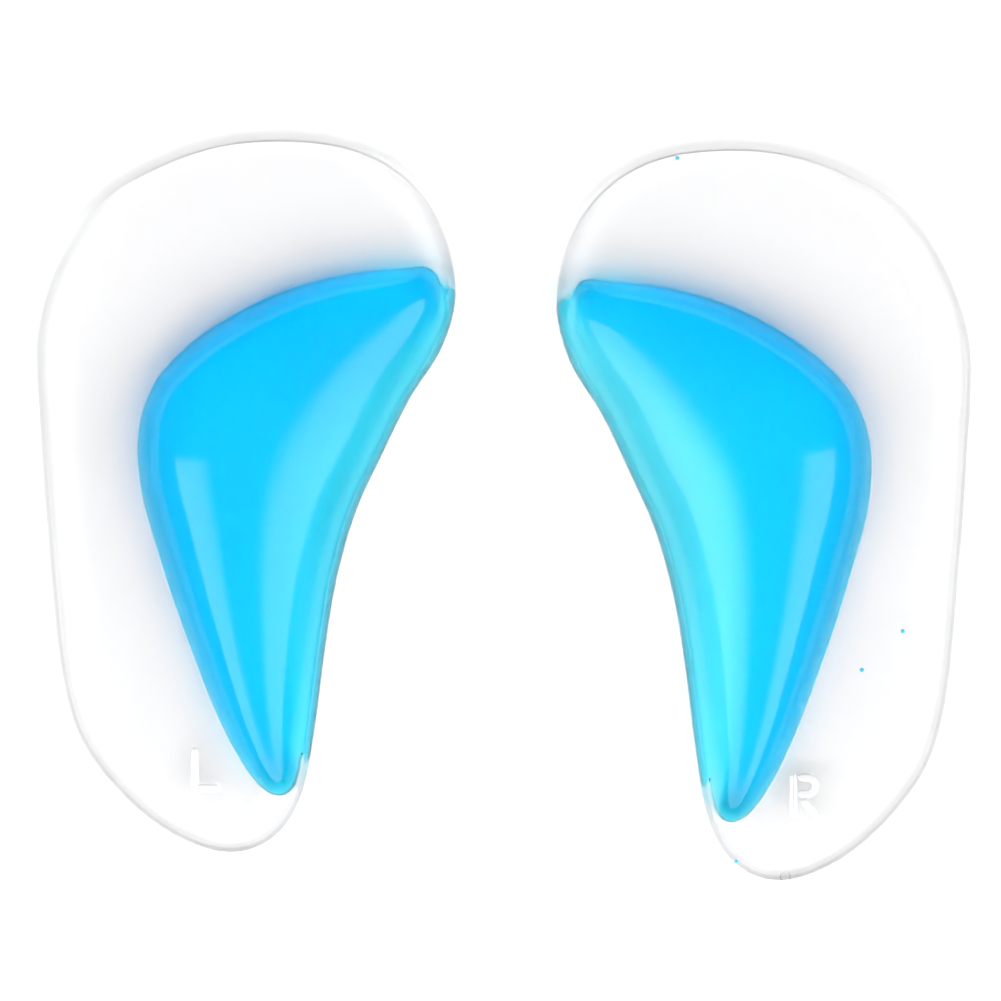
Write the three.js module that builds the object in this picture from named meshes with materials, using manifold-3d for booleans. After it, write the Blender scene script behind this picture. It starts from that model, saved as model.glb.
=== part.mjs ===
// A pair of gel arch-support insoles, left and right, each lying on its peel-off release liner.
// Millimetres. +Z is up and +Y points at the toes. The left pad lies at -X, so the two arch edges
// face each other. The origin is the middle of the pair, on the surface that the liners lie on.
//
// Each pad is a stack: release liner, tacky adhesive layer, clear gel body, blue gel arch core,
// and a thin cover film that follows the body and the core and wraps down round the edge.

import * as THREE from 'three';
import Module from 'manifold-3d';
import { mergeVertices } from 'three/addons/utils/BufferGeometryUtils.js';

const wasm = await Module();
wasm.setup();

// The two pads are poured by hand, so they differ a little in size.
const pads = {
  left: { width: 57.8, length: 98.7, medial: 1 },
  right: { width: 57.2, length: 101.3, medial: -1 },
};
const gapBetweenPads = 14.1;
const rightSetback = 2.6; // the right pad's middle lies this much nearer the heel

const linerThickness = 0.25;
const adhesiveThickness = 0.25;
const filmThickness = 0.25;
const filmGap = 0.25; // working clearance between the film and the gel under it
const padTop = 2.7; // top of the flat part of the pad
const rimRadius = 1.5; // rounding of the pad's upper edge
const archTop = 12; // highest point of the arch
const archPower = 0.6; // below 1 makes the arch steep at its foot and flat on top
const archHold = { outer: 0.3, toe: 0.7 }; // how much more those sides of the foot hold the arch down
const archRoot = 0.5; // how far the film's arch reaches into its slab, where they join
const markHeight = 6.2; // raised side letter
const markRelief = 0.3;
const markStroke = 1.1;

const outlinePoints = 80;
const archRings = [1, 0.985, 0.95, 0.89, 0.8, 0.68, 0.53, 0.36, 0.18, 0.05]; // shares from middle to foot
const rimSteps = 3;

// Landmarks round the pad and round the arch core, as shares of the pad's width towards the arch
// edge and of its length towards the toes, from the middle of the pad.
const padLandmarks = [
  [0.09, 0.5], [0.25, 0.488], [0.36, 0.456], [0.44, 0.405], [0.488, 0.34], [0.5, 0.28],
  [0.47, 0.213], [0.39, 0.137], [0.325, 0.06], [0.26, -0.024], [0.215, -0.118], [0.19, -0.205],
  [0.162, -0.33], [0.135, -0.412], [0.095, -0.46], [0.035, -0.49], [-0.05, -0.5], [-0.175, -0.475],
  [-0.3, -0.417], [-0.395, -0.342], [-0.437, -0.265], [-0.473, -0.07], [-0.492, 0.08], [-0.5, 0.225],
  [-0.46, 0.312], [-0.355, 0.41], [-0.2, 0.466], [-0.06, 0.493],
];
const archLandmarks = [
  [0.447, 0.315], [0.36, 0.3165], [0.22, 0.306], [0.09, 0.284], [-0.03, 0.25], [-0.14, 0.205],
  [-0.215, 0.155], [-0.25, 0.095], [-0.247, 0.02], [-0.2, -0.083], [-0.13, -0.205], [-0.06, -0.31],
  [0, -0.376], [0.045, -0.408], [0.085, -0.417], [0.115, -0.402], [0.137, -0.33], [0.165, -0.205],
  [0.19, -0.115], [0.235, -0.02], [0.3, 0.062], [0.365, 0.14], [0.44, 0.212], [0.472, 0.265],
];
const archMiddle = [0.06, 0.06];
const markPlace = [-0.096, -0.383];

const gelBase = linerThickness + adhesiveThickness;
const totalWidth = pads.left.width + gapBetweenPads + pads.right.width;
const toeEnd = Math.max(pads.left.length / 2, pads.right.length / 2 - rightSetback);
const heelEnd = Math.min(-pads.left.length / 2, -pads.right.length / 2 - rightSetback);
const leftMiddleY = -(toeEnd + heelEnd) / 2;
pads.left.middle = new THREE.Vector2((pads.left.width - totalWidth) / 2, leftMiddleY);
pads.right.middle = new THREE.Vector2(
  (totalWidth - pads.right.width) / 2, leftMiddleY - rightSetback);

const materials = {
  liner: new THREE.MeshStandardMaterial({ color: 0xeef2f4, roughness: 0.35, metalness: 0 }),
  adhesive: new THREE.MeshStandardMaterial({ color: 0xf4f3ee, roughness: 0.5, metalness: 0 }),
  clearGel: new THREE.MeshStandardMaterial({ color: 0xf1f3f7, roughness: 0.12, metalness: 0 }),
  blueGel: new THREE.MeshStandardMaterial({ color: 0x08c4fb, roughness: 0.15, metalness: 0 }),
  film: new THREE.MeshStandardMaterial({ color: 0xf7f8fb, roughness: 0.15, metalness: 0 }),
};

// A landmark of a pad as a point of the pair.
function place(pad, [across, along]) {
  return new THREE.Vector2(
    pad.middle.x + pad.medial * across * pad.width, pad.middle.y + along * pad.length);
}

// A closed smooth outline through landmarks, anticlockwise from above, as evenly spaced points.
function outline(pad, landmarks) {
  const corners = landmarks.map((landmark) => new THREE.Vector3(...place(pad, landmark), 0));
  const curve = new THREE.CatmullRomCurve3(corners, true, 'centripetal');
  const points = curve.getSpacedPoints(outlinePoints).slice(0, -1);
  const flat = points.map((point) => new THREE.Vector2(point.x, point.y));
  return THREE.ShapeUtils.isClockWise(flat) ? flat.reverse() : flat;
}

// An anticlockwise outline moved inwards by a distance.
function inset(points, distance) {
  const count = points.length;
  return points.map((point, i) => {
    const along = points[(i + 1) % count].clone().sub(points[(i + count - 1) % count]).normalize();
    return new THREE.Vector2(point.x - along.y * distance, point.y + along.x * distance);
  });
}

function ringAt(points, z) {
  return points.map((point) => new THREE.Vector3(point.x, point.y, z));
}

// A closed solid through rings of equal count, from its bottom ring to its top ring.
function loft(rings) {
  const count = rings[0].length;
  const last = (rings.length - 1) * count;
  const indices = [];
  for (let start = 0; start < last; start += count) {
    for (let i = 0; i < count; i++) {
      const next = (i + 1) % count;
      const [a, b] = [start + i, start + next];
      indices.push(a, b, b + count, a, b + count, a + count);
    }
  }
  for (const [ring, start, up] of [[rings[0], 0, false], [rings.at(-1), last, true]]) {
    for (const [a, b, c] of THREE.ShapeUtils.triangulateShape(ring, [])) {
      indices.push(start + a, start + (up ? b : c), start + (up ? c : b));
    }
  }
  const geometry = new THREE.BufferGeometry().setFromPoints(rings.flat());
  geometry.setIndex(indices);
  return geometry;
}

// A flat layer with the pad's full outline.
function layer(pad, bottom, thickness) {
  const shape = new THREE.Shape(outline(pad, padLandmarks));
  const geometry = new THREE.ExtrudeGeometry(shape, { depth: thickness, bevelEnabled: false });
  return geometry.translate(0, 0, bottom);
}

// The pad without its arch, all its surface but the base moved in by a distance.
function slab(pad, depth) {
  const edge = outline(pad, padLandmarks);
  const rings = [ringAt(inset(edge, depth), gelBase)];
  for (let step = 0; step <= rimSteps; step++) {
    const turn = (step / rimSteps) * (Math.PI / 2);
    const inwards = rimRadius - (rimRadius - depth) * Math.cos(turn);
    const z = padTop - rimRadius + (rimRadius - depth) * Math.sin(turn);
    rings.push(ringAt(inset(edge, inwards), z));
  }
  return loft(rings);
}

// A smooth measure of how far a point inside the arch's foot is from all of it, which close to the
// foot is their distance. Each straight bit of the foot counts by its integral of 1 / r^3.
function swell(pad, foot, point) {
  let total = 0;
  foot.forEach((start, i) => {
    const end = foot[(i + 1) % foot.length];
    const along = end.clone().sub(start).normalize();
    const [fromStart, fromEnd] = [start, end].map((corner) => point.clone().sub(corner));
    const turned = fromStart.dot(along) / fromStart.length() - fromEnd.dot(along) / fromEnd.length();
    const hold = Math.exp(archHold.toe * Math.max(-along.x, 0) - archHold.outer * along.y * pad.medial);
    total += (hold * turned) / Math.max(fromStart.cross(along) ** 2, 1e-8);
  });
  return Math.sqrt(2 / total);
}

// The arch that rises from the pad's flat top, its surface moved in by a distance. A root takes it
// further down, to join it to the slab.
function arch(pad, depth, root = 0) {
  const foot = outline(pad, archLandmarks);
  const middle = place(pad, archMiddle);
  const springing = padTop - depth;
  const between = (points, share) => points.map((point) => middle.clone().lerp(point, share));
  const swells = archRings.map((share) => between(foot, share).map(
    (point) => (share < 1 ? swell(pad, foot, point) : 0)));
  const fullest = Math.max(...swells.flat());
  const inner = inset(foot, depth);
  const rings = archRings.map((share, k) => between(inner, share).map(({ x, y }, i) => {
    const rise = (swells[k][i] / fullest) ** archPower * (archTop - padTop);
    return new THREE.Vector3(x, y, springing + rise);
  }));
  return loft(root > 0 ? [ringAt(inner, springing - root), ...rings] : rings);
}

// Strokes of a plain block letter, in a box that starts at 0, 0.
function letterL() {
  const foot = markHeight * 0.65;
  return [bar(0, 0, markStroke, markHeight), bar(0, 0, foot, markStroke)];
}

function letterR() {
  const bowlRadius = markHeight * 0.29;
  const bowlCentre = [markHeight * 0.36, markHeight - bowlRadius];
  const bowl = new THREE.Shape();
  bowl.absarc(...bowlCentre, bowlRadius, -Math.PI / 2, Math.PI / 2, false);
  bowl.lineTo(0, markHeight);
  bowl.lineTo(0, markHeight - 2 * bowlRadius);
  const eye = new THREE.Path();
  eye.absarc(...bowlCentre, bowlRadius - markStroke, -Math.PI / 2, Math.PI / 2, false);
  eye.lineTo(markStroke, bowlCentre[1] + bowlRadius - markStroke);
  eye.lineTo(markStroke, bowlCentre[1] - bowlRadius + markStroke);
  bowl.holes.push(eye);
  const leg = new THREE.Shape([
    new THREE.Vector2(markHeight * 0.3, markHeight - 2 * bowlRadius + markStroke / 2),
    new THREE.Vector2(markHeight * 0.56, 0),
    new THREE.Vector2(markHeight * 0.56 + markStroke * 1.15, 0),
    new THREE.Vector2(markHeight * 0.3 + markStroke * 1.15, markHeight - 2 * bowlRadius + markStroke / 2),
  ]);
  return [bar(0, 0, markStroke, markHeight), bowl, leg];
}

function bar(x0, y0, x1, y1) {
  return new THREE.Shape([[x0, y0], [x1, y0], [x1, y1], [x0, y1]].map((p) => new THREE.Vector2(...p)));
}

// The raised side letter, rooted in the film.
function markStrokes(pad) {
  const strokes = pad === pads.left ? letterL() : letterR();
  const centre = place(pad, markPlace);
  const root = filmThickness / 2;
  return strokes.map((shape) => {
    const depth = root + markRelief;
    const geometry = new THREE.ExtrudeGeometry(shape, { depth, bevelEnabled: false, curveSegments: 6 });
    return geometry.translate(centre.x - markHeight / 3, centre.y - markHeight / 2, padTop - root);
  });
}

function toSolid(geometry) {
  const bare = geometry.clone();
  bare.deleteAttribute('normal');
  bare.deleteAttribute('uv');
  const merged = mergeVertices(bare);
  return new wasm.Manifold(new wasm.Mesh({
    numProp: 3,
    vertProperties: merged.attributes.position.array,
    triVerts: new Uint32Array(merged.index.array),
  }));
}

function toGeometry(solid) {
  const mesh = solid.getMesh();
  const geometry = new THREE.BufferGeometry();
  geometry.setAttribute('position', new THREE.BufferAttribute(mesh.vertProperties, 3));
  geometry.setIndex(new THREE.BufferAttribute(mesh.triVerts, 1));
  return geometry;
}

// The cover film: the outer skin of slab, arch and letter, less the room for the gel inside.
function coverFilm(pad) {
  const arched = (depth) => toSolid(slab(pad, depth)).add(toSolid(arch(pad, depth, archRoot)));
  const outer = markStrokes(pad).reduce((skin, stroke) => skin.add(toSolid(stroke)), arched(0));
  return toGeometry(outer.subtract(arched(filmThickness)));
}

function mesh(name, geometry, material) {
  const piece = new THREE.Mesh(geometry, material);
  piece.name = name;
  return piece;
}

function insole(side) {
  const pad = pads[side];
  const gelDepth = filmThickness + filmGap;
  const assembly = new THREE.Group();
  assembly.add(
    mesh(`${side}_release_liner`, layer(pad, 0, linerThickness), materials.liner),
    mesh(`${side}_adhesive_layer`, layer(pad, linerThickness, adhesiveThickness), materials.adhesive),
    mesh(`${side}_gel_body`, slab(pad, gelDepth), materials.clearGel),
    mesh(`${side}_arch_core`, arch(pad, gelDepth), materials.blueGel),
    mesh(`${side}_cover_film`, coverFilm(pad), materials.film),
  );
  return assembly;
}

const group = new THREE.Group();
group.add(insole('left'), insole('right'));

export default group;
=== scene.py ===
"""A pair of clear gel arch-support insoles with blue gel arches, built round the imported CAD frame."""
import math

import bpy
import numpy as np
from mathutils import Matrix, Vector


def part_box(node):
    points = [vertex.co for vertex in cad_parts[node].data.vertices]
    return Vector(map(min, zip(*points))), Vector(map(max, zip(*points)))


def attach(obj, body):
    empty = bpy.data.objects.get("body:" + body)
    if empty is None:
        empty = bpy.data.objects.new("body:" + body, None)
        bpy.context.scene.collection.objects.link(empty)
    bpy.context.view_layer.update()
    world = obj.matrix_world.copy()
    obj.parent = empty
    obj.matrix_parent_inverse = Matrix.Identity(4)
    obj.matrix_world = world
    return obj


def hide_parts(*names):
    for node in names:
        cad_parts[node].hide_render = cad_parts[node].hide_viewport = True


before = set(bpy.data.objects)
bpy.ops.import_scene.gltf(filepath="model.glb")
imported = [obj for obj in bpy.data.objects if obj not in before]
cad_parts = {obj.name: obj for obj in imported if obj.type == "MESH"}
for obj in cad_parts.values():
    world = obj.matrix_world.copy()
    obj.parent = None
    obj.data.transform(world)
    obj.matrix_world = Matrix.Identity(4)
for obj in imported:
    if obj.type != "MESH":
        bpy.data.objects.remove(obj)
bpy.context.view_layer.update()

MM = 0.001
SIDES = {"left": 1, "right": -1}  # the way towards the arch edge along X

# Landmarks round the pad and round the arch, as shares of the pad's width towards the arch edge
# and of its length towards the toes, from the pad's middle. part.mjs has the same ones.
PAD = [
    (0.09, 0.5), (0.25, 0.488), (0.36, 0.456), (0.44, 0.405), (0.488, 0.34), (0.5, 0.28),
    (0.47, 0.213), (0.39, 0.137), (0.325, 0.06), (0.26, -0.024), (0.215, -0.118), (0.19, -0.205),
    (0.162, -0.33), (0.135, -0.412), (0.095, -0.46), (0.035, -0.49), (-0.05, -0.5), (-0.175, -0.475),
    (-0.3, -0.417), (-0.395, -0.342), (-0.437, -0.265), (-0.473, -0.07), (-0.492, 0.08), (-0.5, 0.225),
    (-0.46, 0.312), (-0.355, 0.41), (-0.2, 0.466), (-0.06, 0.493),
]
ARCH = [
    (0.447, 0.315), (0.36, 0.3165), (0.22, 0.306), (0.09, 0.284), (-0.03, 0.25), (-0.14, 0.205),
    (-0.215, 0.155), (-0.25, 0.095), (-0.247, 0.02), (-0.2, -0.083), (-0.13, -0.205), (-0.06, -0.31),
    (0, -0.376), (0.045, -0.408), (0.085, -0.417), (0.115, -0.402), (0.137, -0.33), (0.165, -0.205),
    (0.19, -0.115), (0.235, -0.02), (0.3, 0.062), (0.365, 0.14), (0.44, 0.212), (0.472, 0.265),
]
MIDDLE = (0.06, 0.06)  # a point that sees the whole foot and the whole edge

RIM_RADIUS = 1.5 * MM
CREST = 12 * MM  # the top of the arch
SWELL_POWER = 0.6  # below 1 makes the arch steep at its foot and flat on top
OUTER_HOLD = 0.3  # how much more the outer side of the foot holds the arch down
TOE_HOLD = 0.7  # and the toe side
FOOT_FILLET = 0.12 * MM

FILM = 0.2 * MM
GAP = 0.05 * MM  # between layers that touch on the real pad, because coincident faces render black
CAD_FILM = 0.5 * MM  # the CAD's film and the gap under it

BLUE = 5 * MM  # how deep the blue goes
THIN_SHARE = {"left": 0.46, "right": 0.32}  # of BLUE, beside the pad's inner edge
THIN_UP_TO = {"left": 0.14, "right": 0.25}  # where the blue starts to thicken, from the inner foot at 0
THICKENING = 0.2  # how much further in it is full
INNER_SIDE = (14, 24)  # the landmarks between which the foot runs beside the pad's inner edge
BLUE_TO_EDGE = (-0.405, 0.316)  # between these shares of the length the blue goes on to the inner edge
BLUE_FADE = 0.025  # the share of the length in which it does so
SKIRT = (0.02, 0.86)  # the least and most of the way from the foot to the edge that the blue goes

MARK_PLACE = (-0.096, -0.383)
MARK_HEIGHT = 6.2 * MM
MARK_STROKE = 1.1 * MM
MARK_RELIEF = 0.3 * MM
SPECKS = {"left": [], "right": [(-0.335, -0.158), (-0.236, -0.211), (0.209, 0.489), (0.067, -0.473)]}
SPECK_RADII = (0.3 * MM, 0.3 * MM, 0.3 * MM)
SPECK_DEPTH = 0.8 * MM
NUB = (-0.052, -0.493)  # a moulding mark on the heel of the right pad
NUB_RADII = (0.7 * MM, 0.6 * MM, 0.5 * MM)

OUTLINE_POINTS = 400
SMOOTHINGS = 40
SPOKES = 320
ARCH_RINGS = 44
ARCH_CROWDING = 1.7  # above 1 sets the arch's rings closer together near its foot
SKIRT_RINGS = 12
FLAT_RINGS = 30
BLUE_RINGS = ARCH_RINGS + SKIRT_RINGS
BLOCK = 4000  # points worked on at once

FLOOR_DROP = 0.2 * MM
SOFTBOX = 6.05
AMBIENT = 0.03
SOFTBOX_FOOT = (0.3, 0.4)  # the softbox's edges, as heights on a unit sky
SOFTBOX_TOP = (0.9, 0.68)
SOFTBOX_TOE_END = (0.12, 0.0)  # and towards the toes
SOFTBOX_TURN = 0.12  # slopes that end, so that it lies further towards the toes on the right
LENS = 120
SENSOR_WIDTH = 36
VIEW_WIDTH = 138.7 * MM
VIEW_MIDDLE = (-0.49 * MM, 1.46 * MM, 2 * MM)  # seen from straight above


def catmull_rom(landmarks, per_span=24):
    """Points on a closed centripetal Catmull-Rom curve, the same number in each span."""
    p1 = np.array(landmarks, float)
    p0, p2, p3 = np.roll(p1, 1, 0), np.roll(p1, -1, 0), np.roll(p1, -2, 0)
    spans = ((p0, p1), (p1, p2), (p2, p3))
    d0, d1, d2 = (np.sqrt(np.linalg.norm(b - a, axis=1))[:, None] for a, b in spans)
    m1 = ((p1 - p0) / d0 - (p2 - p0) / (d0 + d1) + (p2 - p1) / d1) * d1
    m2 = ((p2 - p1) / d1 - (p3 - p1) / (d1 + d2) + (p3 - p2) / d2) * d1
    t = np.linspace(0, 1, per_span, endpoint=False)[None, :, None]
    p1, p2, m1, m2 = (v[:, None, :] for v in (p1, p2, m1, m2))
    points = p1 + m1 * t + (3 * (p2 - p1) - 2 * m1 - m2) * t**2 + (2 * (p1 - p2) + m1 + m2) * t**3
    return points.reshape(-1, 2)


def respace(points, count):
    """A closed polyline as evenly spaced points."""
    closed = np.vstack([points, points[:1]])
    run = np.concatenate([[0], np.cumsum(np.linalg.norm(np.diff(closed, axis=0), axis=1))])
    at = np.linspace(0, run[-1], count, endpoint=False)
    return np.stack([np.interp(at, run, closed[:, k]) for k in (0, 1)], axis=1)


def rounded(points, passes):
    """A closed polyline with its small kinks smoothed out. Each smoothing is taken back by a second
    step the other way, which keeps the outline's size."""
    for _ in range(passes):
        for share in (0.5, -0.51):
            points = points + share * ((np.roll(points, 1, 0) + np.roll(points, -1, 0)) / 2 - points)
    return points


def distance(points, line):
    """How far each point is from an open polyline."""
    a, along = line[:-1], np.diff(line, axis=0)
    best = np.full(len(points), np.inf)
    length2 = (along**2).sum(1)
    for start in range(0, len(points), BLOCK):
        block = points[start : start + BLOCK, None, :]
        t = np.clip(((block - a) * along).sum(2) / length2, 0, 1)
        gap = np.linalg.norm(block - a - t[..., None] * along, axis=2)
        best[start : start + BLOCK] = gap.min(1)
    return best


def reach(points, middle, angles):
    """How far a closed outline is from a point inside it, at each of some angles."""
    away = points - middle
    turn = np.arctan2(away[:, 1], away[:, 0])
    order = np.argsort(turn)
    return np.interp(angles, turn[order], np.linalg.norm(away, axis=1)[order], period=2 * math.pi)


class Pad:
    """One pad's place, sizes and outer surface, worked out from its CAD nodes."""

    def __init__(self, side):
        self.side, self.medial = side, SIDES[side]
        low, high = (np.array(c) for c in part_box(f"{side}_cover_film"))
        self.centre = (low[:2] + high[:2]) / 2
        self.size = (high - low)[:2]
        self.base = low[2]
        self.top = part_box(f"{side}_gel_body")[1][2] + CAD_FILM
        self.edge = self.outline(PAD, OUTLINE_POINTS)
        self.foot = self.outline(ARCH, OUTLINE_POINTS)
        self.middle = self.place(MIDDLE)
        away = respace(self.edge, SPOKES) - self.middle
        self.angles = np.arctan2(away[:, 1], away[:, 0])
        self.spokes = np.stack([np.cos(self.angles), np.sin(self.angles)], axis=1)
        inside = self.fan(np.linspace(0.05, 0.95, 19)[:, None] * reach(self.foot, self.middle, self.angles))
        self.fullest = self.swell(inside.reshape(-1, 2)).max()

    def place(self, share):
        """Landmarks as points."""
        return self.centre + np.array(share) * self.size * (self.medial, 1)

    def outline(self, landmarks, count):
        """A smooth outline through landmarks, anticlockwise."""
        points = rounded(respace(self.place(catmull_rom(landmarks)), count), SMOOTHINGS)
        return points if self.medial < 0 else points[::-1]

    def inwards(self, points):
        """0 on the foot beside the pad's inner edge, 1 on the rest of the foot, and between them inside."""
        foot = self.foot if self.medial < 0 else self.foot[::-1]
        ends = [self.place(ARCH[i % len(ARCH)]) for i in INNER_SIDE]
        first, last = (np.linalg.norm(foot - end, axis=1).argmin() for end in ends)
        run = np.roll(foot, -first, 0)
        count = (last - first) % len(foot) + 1
        near, far = run[:count], np.vstack([run[count - 1 :], run[:1]])
        to_near, to_far = distance(points, near), distance(points, far)
        return to_near / np.maximum(to_near + to_far, 1e-9)

    def fan(self, radii):
        """Points on every spoke at radii of shape rings by spokes."""
        return self.middle + radii[..., None] * self.spokes

    def swell(self, points):
        """A smooth measure of how far points inside the arch's foot are from all of it, which close to
        the foot is their distance: each straight bit of the foot counts by its integral of 1 / r^3."""
        a, b = self.foot, np.roll(self.foot, -1, 0)
        along = (b - a) / np.linalg.norm(b - a, axis=1)[:, None]
        hold = np.exp(-OUTER_HOLD * along[:, 1] * self.medial + TOE_HOLD * np.maximum(-along[:, 0], 0))
        total = []
        for block in np.array_split(points, len(points) // BLOCK + 1):
            from_a, from_b = block[:, None] - a, block[:, None] - b
            beside = from_a[..., 0] * along[:, 1] - from_a[..., 1] * along[:, 0]
            ends = [(v * along).sum(2) / np.linalg.norm(v, axis=2) for v in (from_a, from_b)]
            total.append((hold * (ends[0] - ends[1]) / np.maximum(beside**2, 1e-14)).sum(1))
        return np.sqrt(2 / np.concatenate(total))

    def height(self, points, signed):
        """The outer surface above points. signed is any value above 0 for one inside the arch's foot, and
        for one outside it the distance to the foot, below 0."""
        edge = distance(points, np.vstack([self.edge, self.edge[:1]]))
        drop = np.clip(RIM_RADIUS - edge, 0, RIM_RADIUS)
        rim = self.top - RIM_RADIUS + np.sqrt(RIM_RADIUS**2 - drop**2)
        inner = np.where(signed > 0, self.swell(points), signed)
        risen = FOOT_FILLET * np.logaddexp(0, inner / FOOT_FILLET)
        return rim + (CREST - self.top) * (risen / self.fullest) ** SWELL_POWER


def away_from(rings, tip, depth):
    """Rings of a surface that opens down from a tip, moved inwards by a depth along their normals."""
    along = np.roll(rings, -1, 1) - np.roll(rings, 1, 1)
    across = np.gradient(np.concatenate([np.broadcast_to(tip, rings[:1].shape), rings]), axis=0)[1:]
    out = np.cross(across, along)
    out /= np.linalg.norm(out, axis=2)[..., None]
    return rings - out * depth


def solid(name, shells, body, stands_for, materials):
    """A piece of one or more closed shells. Each is a chain of anticlockwise rings from its top to its
    bottom, with the material number of every band between two rings. An end that is a single point
    closes as a fan, and an end that is a ring as a flat face."""
    points, faces, numbers, count = [], [], [], 0
    for chain, bands in shells:
        starts = []
        for part in map(np.atleast_2d, chain):
            starts.append(count)
            points.append(part)
            count += len(part)
        sizes = [len(np.atleast_2d(part)) for part in chain]
        for (a, b), (size_a, size_b), number in zip(pairs(starts), pairs(sizes), bands):
            around = max(size_a, size_b)
            for i in range(around):
                j = (i + 1) % around
                if size_a == 1:
                    faces.append((a, b + i, b + j))
                elif size_b == 1:
                    faces.append((a + i, b, a + j))
                else:
                    faces.append((a + i, b + i, b + j, a + j))
                numbers.append(number)
        for start, size, step in ((starts[0], sizes[0], 1), (starts[-1], sizes[-1], -1)):
            if size > 1:
                faces.append(tuple(range(start, start + size))[::step])
                numbers.append(0)
    mesh = bpy.data.meshes.new(name)
    mesh.from_pydata(np.concatenate(points).tolist(), [], faces)
    for finish in materials:
        mesh.materials.append(finish)
    mesh.polygons.foreach_set("use_smooth", [len(face) < 5 for face in faces])
    mesh.polygons.foreach_set("material_index", numbers)
    mesh.update()
    piece = bpy.data.objects.new(name, mesh)
    bpy.context.collection.objects.link(piece)
    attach(piece, body)
    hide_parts(stands_for)
    return piece


def pairs(items):
    """Each item with the next one."""
    return list(zip(items[:-1], items[1:]))


def shell(chain, number=0):
    """A shell with one material number throughout."""
    return chain, [number] * (len(chain) - 1)


def blob(centre, radii, steps=10, around=20):
    """A small ellipsoid."""
    turn = np.arange(around) * 2 * math.pi / around
    circle = np.stack([np.cos(turn), np.sin(turn), np.zeros(around)], axis=1)
    centre, radii = np.array(centre), np.array(radii)
    up = np.array([0, 0, 1])
    tilts = np.arange(1, steps) * math.pi / steps
    rings = [centre + radii * (circle * math.sin(t) + up * math.cos(t)) for t in tilts]
    return [centre + radii * up, *rings, centre - radii * up]


def stroke(path, z):
    """A raised stroke of a letter along an open path, round across and at its ends."""
    path = np.array(path, float)
    along = np.gradient(path, axis=0)
    along /= np.linalg.norm(along, axis=1)[:, None]
    left = np.stack([-along[:, 1], along[:, 0]], axis=1)
    turns = np.linspace(0, math.pi, 11)[1:-1, None]
    loop = [(path, -left), (path[-1], -left[-1] * np.cos(turns) + along[-1] * np.sin(turns)),
            (path[::-1], left[::-1]), (path[0], left[0] * np.cos(turns) - along[0] * np.sin(turns))]
    middle = np.vstack([np.broadcast_to(at, out.shape) for at, out in loop])
    out = np.vstack([out for at, out in loop])
    out *= MARK_STROKE / 2
    tilts = np.linspace(0.1, math.pi / 2, 8)
    rings = [raised(middle + out * math.sin(t), z + MARK_RELIEF * math.cos(t)) for t in tilts]
    return [*rings, raised(middle + out, z - FILM / 2)]


def side_letter(pad):
    """The strokes of a plain L or R, which don't touch, as paths from the letter's bottom left corner."""
    inside, right = MARK_STROKE / 2, MARK_HEIGHT * 0.65 - MARK_STROKE / 2
    top = MARK_HEIGHT - inside

    def straight(a, b):
        return np.array(a) + (np.array(b) - np.array(a)) * np.linspace(0, 1, 9)[:, None]

    def bend(centre, radius, start, stop):
        turns = np.linspace(start, stop, 21)
        return np.array(centre) + radius * np.stack([np.cos(turns), np.sin(turns)], axis=1)

    if pad.side == "left":
        corner = bend((2 * inside, 2 * inside), inside, math.pi, 1.5 * math.pi)
        paths = [np.vstack([straight((inside, top), corner[0])[:-1], corner,
                            straight(corner[-1], (right, inside))[1:]])]
    else:
        clear = MARK_STROKE * 1.15
        radius = MARK_HEIGHT * 0.27 - inside
        bowl = bend((MARK_HEIGHT * 0.4, top - radius), radius, math.pi / 2, -math.pi / 2)
        left = inside + clear
        paths = [straight((inside, top), (inside, inside)),
                 np.vstack([straight((left, top), bowl[0])[:-1], bowl,
                            straight(bowl[-1], (left, top - 2 * radius))[1:]]),
                 straight((MARK_HEIGHT * 0.36, top - 2 * radius - clear), (right, inside))]
    origin = pad.place(MARK_PLACE) - np.array([MARK_HEIGHT / 3, MARK_HEIGHT / 2])
    return [stroke(origin + path, pad.top) for path in paths]


def raised(points, z):
    """Flat points at a height."""
    return np.column_stack([points, np.full(len(points), z)])


def surface(pad):
    """The pad's outer surface as rings on its spokes, from the tip of the arch to the edge. ARCH_RINGS
    of them lie on the arch and BLUE_RINGS over the blue."""
    foot = reach(pad.foot, pad.middle, pad.angles)
    edge = reach(pad.edge, pad.middle, pad.angles)
    across, along = ((pad.fan(edge) - pad.centre) / pad.size * (pad.medial, 1)).T
    beside = np.minimum(along - BLUE_TO_EDGE[0], BLUE_TO_EDGE[1] - along) / BLUE_FADE
    blue = foot + (edge - foot) * np.where(across > 0, np.clip(beside, *SKIRT), SKIRT[0])
    on_arch = 1 - (1 - np.arange(1, ARCH_RINGS + 1) / ARCH_RINGS) ** ARCH_CROWDING
    skirt = np.arange(1, SKIRT_RINGS + 1)[:, None] / SKIRT_RINGS
    t = np.arange(1, FLAT_RINGS + 1)[:, None] / FLAT_RINGS
    beyond = t**2 * (3 - 2 * t)
    radii = np.concatenate([
        on_arch[:, None] * foot, foot + skirt * (blue - foot), blue + beyond * (edge - blue)])
    flat = pad.fan(radii).reshape(-1, 2)
    inside = np.repeat(np.arange(len(radii)) < ARCH_RINGS, SPOKES)
    foot_line = np.vstack([pad.foot, pad.foot[:1]])
    signed = np.where(inside, 1.0, -distance(flat, foot_line))
    z = pad.height(flat, signed)
    rings = np.column_stack([flat, z]).reshape(len(radii), SPOKES, 3)
    tip = np.array([*pad.middle, pad.height(pad.middle[None], np.ones(1))[0]])
    return rings, tip


def inset(points, depth):
    """An anticlockwise outline moved inwards."""
    along = np.roll(points, -1, 0) - np.roll(points, 1, 0)
    along /= np.linalg.norm(along, axis=1)[:, None]
    return points + depth * np.stack([-along[:, 1], along[:, 0]], axis=1)


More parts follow.
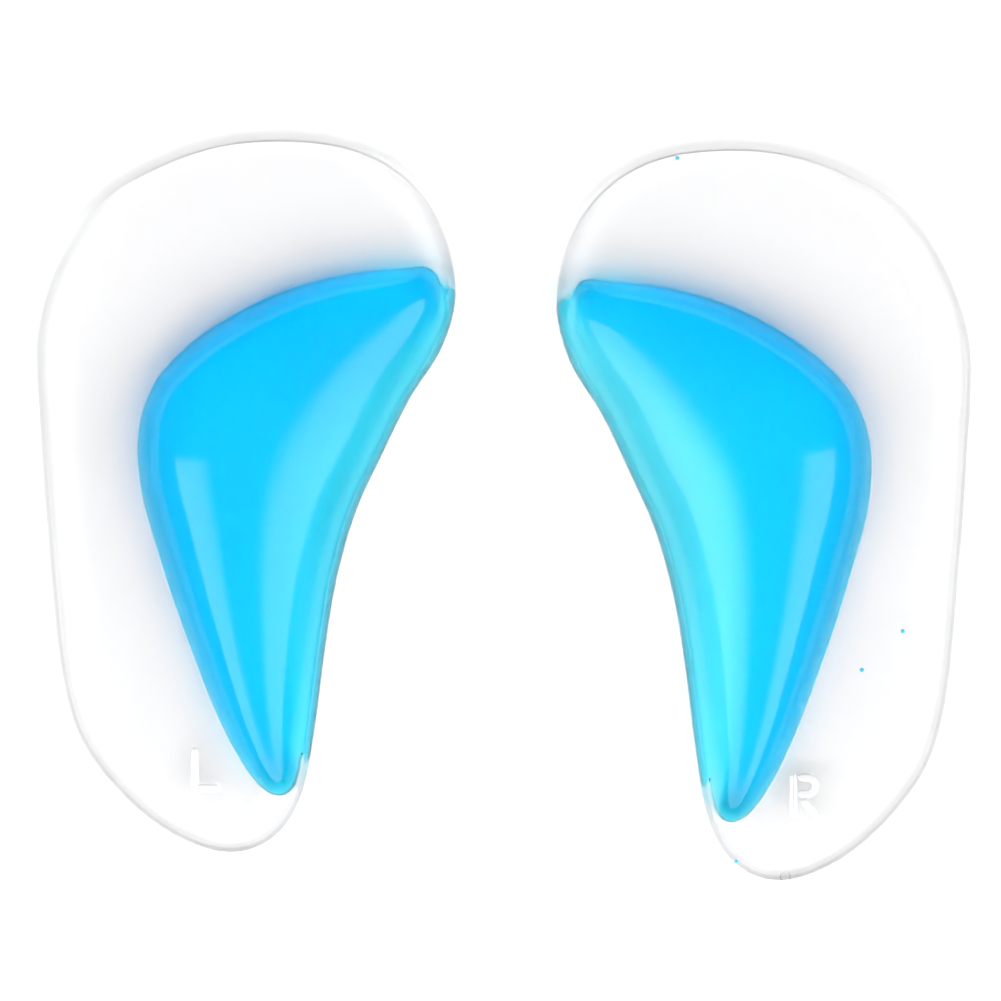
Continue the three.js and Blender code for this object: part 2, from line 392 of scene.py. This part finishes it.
def cover_film(pad, rings, tip, materials):
    """The clear skin, bonded to the gel on its inner side, with the raised side letter, whose faint white
    is a painted highlight.
    """
    inner = away_from(rings, tip, FILM)
    outer_base, inner_base = (raised(r[-1, :, :2], pad.base) for r in (rings, inner))
    chain = [tip, *rings, outer_base, inner_base, *inner[::-1], tip - (0, 0, FILM)]
    outer = len(rings) + 1
    shells = [(chain, [0] * outer + [1] * (len(chain) - 1 - outer))]
    shells += [shell(letter, 2) for letter in side_letter(pad)]
    if pad.side == "right":
        shells.append(shell(blob((*pad.place(NUB), pad.top - RIM_RADIUS), NUB_RADII)))
    solid(f"{pad.side}_film", shells, f"{pad.side}_insole", f"{pad.side}_cover_film",
          materials)


def arch_core(pad, rings, tip, materials):
    """The blue gel: a thick skin under the arch, thinner beside the pad's inner edge. Returns its
    underside's rings and tip."""
    depth = FILM + GAP
    upper = away_from(rings, tip, depth)[:BLUE_RINGS]
    flat = upper[..., :2].reshape(-1, 2)
    share = np.clip((pad.inwards(flat) - THIN_UP_TO[pad.side]) / THICKENING, 0, 1)
    share = (share**2 * (3 - 2 * share)).reshape(upper.shape[:2])
    share[ARCH_RINGS:] = share[ARCH_RINGS - 1]
    thin = THIN_SHARE[pad.side]
    blue = BLUE * (thin + (1 - thin) * share)
    under = np.dstack([upper[..., :2], np.maximum(upper[..., 2] - blue, pad.base + 2 * GAP)])
    top, bottom = (tip - (0, 0, d) for d in (depth, depth + BLUE))
    core = solid(f"{pad.side}_core", [shell([top, *upper, *under[::-1], bottom])], f"{pad.side}_insole",
                 f"{pad.side}_arch_core", materials)
    return under, bottom


def gel_body(pad, rings, tip, under, under_tip, materials):
    """The clear gel: the pad itself and what fills the arch below the blue, with stray specks of blue."""
    spare = (0, 0, GAP)
    beyond = away_from(rings, tip, FILM + GAP)[BLUE_RINGS:]
    base = raised(beyond[-1, :, :2], pad.base + GAP / 2)
    shells = [shell([under_tip - spare, *(under - spare), *beyond, base])]
    for place in SPECKS[pad.side]:
        shells.append(shell(blob((*pad.place(place), pad.top - SPECK_DEPTH), SPECK_RADII), 1))
    gel = solid(f"{pad.side}_gel", shells, f"{pad.side}_insole", f"{pad.side}_gel_body",
                materials)


def layer(pad, name, node, body, materials):
    """A flat sheet with the pad's outline and eased edges."""
    low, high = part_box(node)
    top = high[2] - GAP / 2
    ease = GAP / 2
    chain = [raised(inset(pad.edge, ease), top), raised(pad.edge, top - ease),
             raised(pad.edge, low[2] + ease), raised(inset(pad.edge, ease), low[2])]
    solid(name, [shell(chain)], body, node, materials)


# ---- materials -------------------------------------------------------------------------------

WHITE = (1, 1, 1, 1)


def principled(name, values):
    made = bpy.data.materials.new(name)
    made.use_nodes = True
    for socket, value in values.items():
        made.node_tree.nodes["Principled BSDF"].inputs[socket].default_value = value
    return made


def clear_gloss(name, ior=1.26, roughness=0.06):
    return principled(
        name, {"Base Color": WHITE, "Transmission Weight": 1, "Roughness": roughness, "IOR": ior})


def faint(name, colour, alpha):
    return principled(name, {"Base Color": colour, "Alpha": alpha, "Roughness": 0.3, "IOR": 1.0})


def dyed(name, colour, density):
    """A clear substance that tints light by how far it goes through it."""
    made = clear_gloss(name, ior=1.0, roughness=0)
    nodes = made.node_tree.nodes
    volume = nodes.new("ShaderNodeVolumeAbsorption")
    volume.inputs["Color"].default_value = colour
    volume.inputs["Density"].default_value = density
    made.node_tree.links.new(volume.outputs[0], nodes["Material Output"].inputs["Volume"])
    return made


def plain(name, colour, roughness):
    return principled(name, {"Base Color": colour, "Roughness": roughness})


# Of a pad's faces only the film's outer side reflects. The blue and the tacky layer pass light as
# glass does and the other faces as transparent ones do, which keeps a path within the renderer's
# limits for both kinds.
film_outer = clear_gloss("cover_film_gloss")
# The side letter is clear gel like the film; its faint white is a painted highlight standing in for the
# light caught on its edges.
raised_mark_painted_highlight = faint("raised_mark_painted_highlight", WHITE, 0.45)
film_inner = faint("cover_film_bonded", WHITE, 0.01)
clear_gel = faint("clear_gel", (0.97, 0.96, 0.98, 1), 0.02)
blue_gel = dyed("blue_gel", (0.0, 0.931, 1.0, 1), 850)
tacky = clear_gloss("tacky_gel", ior=1.0, roughness=0.0)
liner = plain("liner", (0.95, 0.95, 0.955, 1), 0.4)
speck = faint("blue_speck", (0.05, 0.7, 0.95, 1), 0.7)

for side in SIDES:
    pad = Pad(side)
    rings, tip = surface(pad)
    cover_film(pad, rings, tip, [film_outer, film_inner, raised_mark_painted_highlight])
    under, under_tip = arch_core(pad, rings, tip, [blue_gel])
    gel_body(pad, rings, tip, under, under_tip, [clear_gel, speck])
    layer(pad, f"{side}_adhesive", f"{side}_adhesive_layer", f"{side}_insole", [tacky])
    layer(pad, f"{side}_backing", f"{side}_release_liner", f"{side}_liner", [liner])

# ---- stage -----------------------------------------------------------------------------------

mesh = bpy.data.meshes.new("floor")
mesh.from_pydata([(-2, -2, 0), (2, -2, 0), (2, 2, 0), (-2, 2, 0)], [], [(0, 1, 2, 3)])
floor = bpy.data.objects.new("floor", mesh)
mesh.materials.append(plain("floor", (0.9, 0.9, 0.9, 1), 0.9))
floor.location.z = -FLOOR_DROP
bpy.context.collection.objects.link(floor)

world = bpy.data.worlds.new("studio")
bpy.context.scene.world = world
world.use_nodes = True
nodes, links = world.node_tree.nodes, world.node_tree.links


def maths(operation, first, second=0.0):
    node = nodes.new("ShaderNodeMath")
    node.operation = operation
    for socket, value in zip(node.inputs, (first, second)):
        if isinstance(value, float):
            socket.default_value = value
        else:
            links.new(value, socket)
    return node.outputs[0]


def ramp(value, start, stop):
    """0 up to start and 1 from stop on, or the other way round, with a smooth step between."""
    node = nodes.new("ShaderNodeMapRange")
    node.interpolation_type = "SMOOTHSTEP"
    low, high = sorted((start, stop))
    node.inputs["From Min"].default_value = low
    node.inputs["From Max"].default_value = high
    node.inputs["To Min"].default_value = float(start > stop)
    node.inputs["To Max"].default_value = float(start < stop)
    links.new(value, node.inputs["Value"])
    return node.outputs[0]


# A softbox round the sides and the heel, which leaves the sky overhead and beyond the toes dark
direction = nodes.new("ShaderNodeSeparateXYZ")
links.new(nodes.new("ShaderNodeTexCoord").outputs["Generated"], direction.inputs[0])
level = maths("SQRT", maths("SUBTRACT", 1.0, maths("POWER", direction.outputs["Z"], 2.0)))
turned = maths("SUBTRACT", direction.outputs["Y"], maths("MULTIPLY", direction.outputs["X"], SOFTBOX_TURN))
below_top = ramp(direction.outputs["Z"], *SOFTBOX_TOP)
above_foot = ramp(direction.outputs["Z"], *SOFTBOX_FOOT)
short_of_toes = ramp(maths("DIVIDE", turned, level), *SOFTBOX_TOE_END)
softbox = maths("MULTIPLY", maths("MULTIPLY", above_foot, below_top), short_of_toes)
softbox = maths("MULTIPLY", softbox, SOFTBOX)
nodes["Background"].inputs["Color"].default_value = WHITE
links.new(maths("ADD", softbox, AMBIENT), nodes["Background"].inputs["Strength"])

camera = bpy.data.objects.new("camera", bpy.data.cameras.new("camera"))
bpy.context.collection.objects.link(camera)
camera.data.lens = LENS
camera.data.sensor_width = SENSOR_WIDTH
camera.data.clip_start = 0.01
camera.location = VIEW_MIDDLE
camera.location.z += VIEW_WIDTH * LENS / SENSOR_WIDTH
bpy.context.scene.camera = camera
bpy.context.scene.view_settings.view_transform = "Standard"
